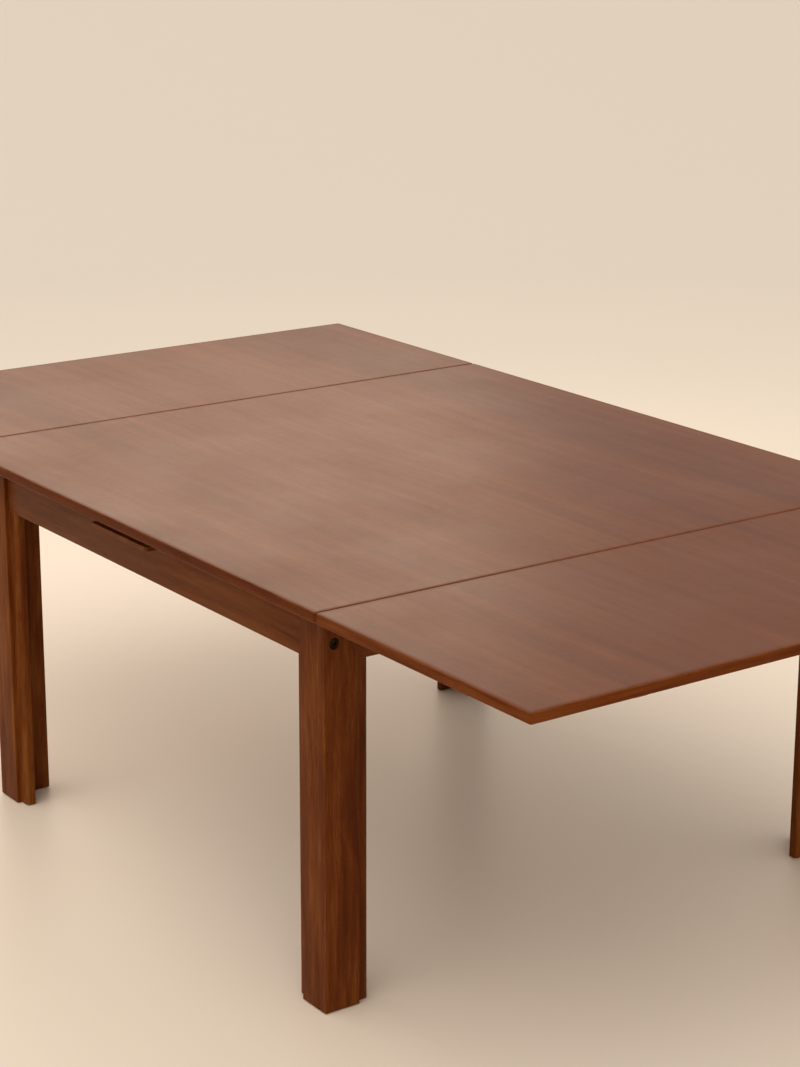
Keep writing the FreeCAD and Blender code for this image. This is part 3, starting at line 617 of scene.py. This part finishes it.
NOTCH_GAP, NOTCH_FLOOR = 0.00075, 0.6647
for name in ("near", "far"):
    low, high = box_of(f"end_apron_{name}")
    outline = [(low[1], low[2]), (high[1], low[2]), (high[1], high[2])]
    for side in ("back", "front"):
        first, last = box_of(f"{name}_bearer_{side}")
        outline += [(last[1] + NOTCH_GAP, high[2]), (last[1] + NOTCH_GAP, NOTCH_FLOOR),
                    (first[1] - NOTCH_GAP, NOTCH_FLOOR), (first[1] - NOTCH_GAP, high[2])]
    outline += [(low[1], high[2])]
    bar = eased_prism(outline, 2 * [LOWER_ARRIS] + 10 * [UPPER_ARRIS], low[0], high[0], END_END)
    make_piece(f"end_apron_{name}_board", moved(bar, X_AWAY, (0, 0, 0)), "frame",
               "solid_wood", apron_y, f"end_apron_{name}", board=FIRST_END_APRON + low[0])

# --- Bolts, washers, screws and glides --------------------------------------------------

TURN = np.linspace(0, 2 * np.pi, ROUND, endpoint=False)
SIXTH = np.pi / 6
SOCKET = 0.0058 * math.cos(SIXTH) / np.cos((TURN + SIXTH) % (2 * SIXTH) - SIXTH)
SLOT = 1 / ((np.abs(np.cos(TURN)) / 0.0041) ** 8
            + (np.abs(np.sin(TURN)) / 0.0006) ** 8) ** 0.125
BOLT = [(0, 0.110), (0.0033, 0.110), (0.004, 0.1092), (0.004, 0), (0.0077, 0),
        (BOLT_RADIUS, -0.0003), (BOLT_RADIUS, -0.0039), (0.0074, -0.0045),
        (SOCKET * 1.04, -0.0045), (SOCKET, -0.0042), (SOCKET * 0.98, -0.0016), (0, -0.0010)]
SCREW_HEAD = 0.0045
WASHER = [(0.0043, 0.0002), (0.0046, 0), (0.0089, 0), (0.00925, 0.0003), (0.00925, 0.0012),
          (0.0089, 0.0015), (0.0046, 0.0015), (0.0043, 0.0013)]


def ring_faces(rings, around):
    """Quads of a grid that closes both ways, for a ring."""
    i, j = np.meshgrid(np.arange(rings), np.arange(around), indexing="ij")
    k, m = (j + 1) % around, (i + 1) % rings
    return np.stack([i * around + j, i * around + k, m * around + k, m * around + j],
                    -1).reshape(-1, 4).tolist()


def at_corners(part):
    """A turned part at each of the four bolts, its axis pointing into the leg."""
    return joined([moved(part, [(0, 1, 0), (0, 0, 1), (-sx, 0, 0)],
                         (sx * head_x, sy * bolt_y, bolt_z)) for sx, sy in CORNERS.values()])


make_piece("socket_bolts", at_corners(turned(BOLT, ROUND)), "frame", "dark_steel",
           dark_steel, "leg_bolts")
washer_points = turned(WASHER, ROUND)[0]
make_piece("round_washers",
           at_corners((washer_points, ring_faces(len(WASHER), ROUND), None)),
           "frame", "dark_steel", dark_steel, "bolt_washers")


def screw(length):
    """A slotted countersunk screw, head at the origin and pointing along its axis."""
    return turned([(0, length), (0.0008, length - 0.002), (0.00225, length - 0.007),
                   (0.00225, 0.004), (SCREW_HEAD, 0.0006), (SCREW_HEAD, 0.0002),
                   (0.0043, 0), (SLOT * 1.02, 0), (SLOT, 0.0001), (SLOT, 0.0012),
                   (0, 0.0012)], ROUND)


def screws(node, xs, ys, z, direction, length, body):
    """One piece of all the screws at the crossings of xs and ys, pointing up or down."""
    turn = [(1, 0, 0), (0, direction, 0), (0, 0, direction)]
    heads = [moved(screw(length), turn, (x, y, z)) for x in xs for y in ys]
    make_piece(f"{node}_slotted", joined(heads), body, "steel", steel, node)


for name, sign in (("near", 1), ("far", -1)):
    low, high = box_of(f"{name}_bearer_screws")
    ends = sorted((low[0] + SCREW_HEAD, high[0] - SCREW_HEAD))
    ys = [low[1] + SCREW_HEAD, high[1] - SCREW_HEAD]
    screws(f"{name}_bearer_screws", (ends[0], sum(ends) / 2, ends[1]), ys, low[2], 1,
           high[2] - low[2], f"{name}_leaf")
low, high = box_of("centre_board_screws")
screws("centre_board_screws", (low[0] + SCREW_HEAD, high[0] - SCREW_HEAD),
       (low[1] + SCREW_HEAD, 0, high[1] - SCREW_HEAD), high[2], -1, high[2] - low[2], "frame")

GLIDE = [(0, 0), (0.0078, 0), (0.0086, 0.0003), (0.009, 0.001), (0.009, 0.002),
         (0.0015, 0.002), (0.0015, 0.0165), (0, 0.017)]
GLIDE_CLOSE, GLIDE_AWAY, GLIDE_ROUND = 0.0195, 0.060, 40
glide_places = [(LEG_OUT[0] - GLIDE_CLOSE, LEG_OUT[1] - GLIDE_AWAY),
                (LEG_OUT[0] - GLIDE_AWAY, LEG_OUT[1] - GLIDE_CLOSE)]
make_piece("felted_glides", joined([
    moved(turned(GLIDE, GLIDE_ROUND), np.eye(3), (sx * x, sy * y, 0))
    for sx, sy in CORNERS.values() for x, y in glide_places]), "frame", "glide",
    glide_black, "foot_glides")

# --- Finishes of the parts that keep their shape -----------------------------------------

paint(apron_y, "centre_board")
paint(inner_y, "cross_rail_near", "cross_rail_far", "apron_dowels", "rail_dowels")
paint(inner_x, *(f"{end}_bearer_{side}" for end in ("near", "far")
                for side in ("front", "back")))
paint(peg_wood, "guide_peg_front", "guide_peg_back",
      *(f"{end}_stop_peg_{side}" for end in ("near", "far") for side in ("front", "back")))
paint(steel, "barrel_nuts")

# --- Floor, light and camera ---------------------------------------------------------------

FLOOR_REACH = 40
# Painted shade: from 2 to 6 m out the floor turns darker and a little greyer.
FLOOR_SHADE_FADE = (2.0, 6.0)
floor_material, tree, shader, where = new_material("pale_floor")
cloud = noise(tree, where, 1.3, 3.0)
near_floor = mixed(tree, span(tree, cloud, 0.3, 0.7), linear("EDE2D4"), linear("EEE4D8"))
away = add_node(tree, "ShaderNodeVectorMath", {0: where}, operation="LENGTH").outputs["Value"]
# Painted shade with distance from the table, mixed into the floor colour.
tree.links.new(mixed(tree, span(tree, away, *FLOOR_SHADE_FADE), near_floor, linear("DBD2C6")),
               shader.inputs["Base Color"])
tree.links.new(span(tree, noise(tree, where, 5.0, 2.0), 0.3, 0.7, 0.38, 0.41),
               shader.inputs["Roughness"])
floor_mesh = bpy.data.meshes.new("floor")
floor_mesh.from_pydata([(-FLOOR_REACH, -FLOOR_REACH, 0), (FLOOR_REACH, -FLOOR_REACH, 0),
                        (FLOOR_REACH, FLOOR_REACH, 0), (-FLOOR_REACH, FLOOR_REACH, 0)],
                       [], [(0, 1, 2, 3)])
floor_mesh.materials.append(floor_material)
floor = bpy.data.objects.new("floor", floor_mesh)
bpy.context.scene.collection.objects.link(floor)

LEFT = math.radians(190)
ROOM_STRENGTH = 0.85
HORIZON = (0.02, 0.16)
world = bpy.data.worlds.new("soft_room")
world.use_nodes = True
bpy.context.scene.world = world
sky = world.node_tree
background = sky.nodes["Background"]
look = add_node(sky, "ShaderNodeTexCoord").outputs["Generated"]
heading = add_node(sky, "ShaderNodeSeparateXYZ", {0: look}).outputs
facing_left = add_node(sky, "ShaderNodeVectorMath", {
    0: look, 1: (math.cos(LEFT), math.sin(LEFT), 0.0)}, operation="DOT_PRODUCT").outputs["Value"]
upper_room = mixed(sky, span(sky, facing_left, -0.2, 0.9), linear("B0A69A"), linear("F0E6D8"))
sky.links.new(mixed(sky, span(sky, heading["Z"], *HORIZON), linear("EADCCA"), upper_room),
              background.inputs["Color"])
background.inputs["Strength"].default_value = ROOM_STRENGTH


def lamp(name, kind, energy, colour, place, target, **settings):
    """A light at a place, facing a target."""
    data = bpy.data.lights.new(name, kind)
    data.energy, data.color = energy, linear(colour)[:3]
    for key, value in settings.items():
        setattr(data, key, value)
    light = bpy.data.objects.new(name, data)
    bpy.context.scene.collection.objects.link(light)
    from_to = np.array(target, float) - np.array(place, float)
    z = -from_to / np.linalg.norm(from_to)
    x = np.cross((0, 0, 1), z)
    x /= np.linalg.norm(x)
    facing = Matrix(np.stack([x, np.cross(z, x), z], 1).tolist())
    light.matrix_world = Matrix.Translation(place) @ facing.to_4x4()
    return light


lamp("window", "SUN", 1.5, "FFF3E4", (2.4, -2.9, 5.0), (0, 0, 0), angle=math.radians(70))
lamp("ceiling", "SUN", 0.8, "FFF8F0", (0.5, 0.5, 5.0), (0, 0, 0), angle=math.radians(120))
softbox = lamp("softbox", "AREA", 19.0, "FFDFC0", (-3.0, 1.3, 2.1), (-0.2, 0, 0.74),
               shape="RECTANGLE", size=2.2, size_y=1.2)
softbox.visible_camera = False

CAMERA_PLACE = (3.777, -2.719, 1.979)
SENSOR_MM, LENS_MM = 36.0, 84.18
YAW, PITCH, ROLL = (math.radians(a) for a in (144.45, 16.47, 0.19))
look_along = np.array([math.cos(YAW) * math.cos(PITCH), math.sin(YAW) * math.cos(PITCH),
                       -math.sin(PITCH)])
level = np.array([math.sin(YAW), -math.cos(YAW), 0.0])
upright = np.cross(level, look_along)
right = math.cos(ROLL) * level + math.sin(ROLL) * upright
up = math.cos(ROLL) * upright - math.sin(ROLL) * level
camera_data = bpy.data.cameras.new("camera")
camera_data.sensor_width = SENSOR_MM
camera_data.lens = LENS_MM
camera = bpy.data.objects.new("camera", camera_data)
bpy.context.scene.collection.objects.link(camera)
camera.matrix_world = (Matrix.Translation(CAMERA_PLACE)
                       @ Matrix(np.stack([right, up, -look_along], 1).tolist()).to_4x4())
bpy.context.scene.camera = camera
bpy.context.scene.view_settings.view_transform = "Standard"
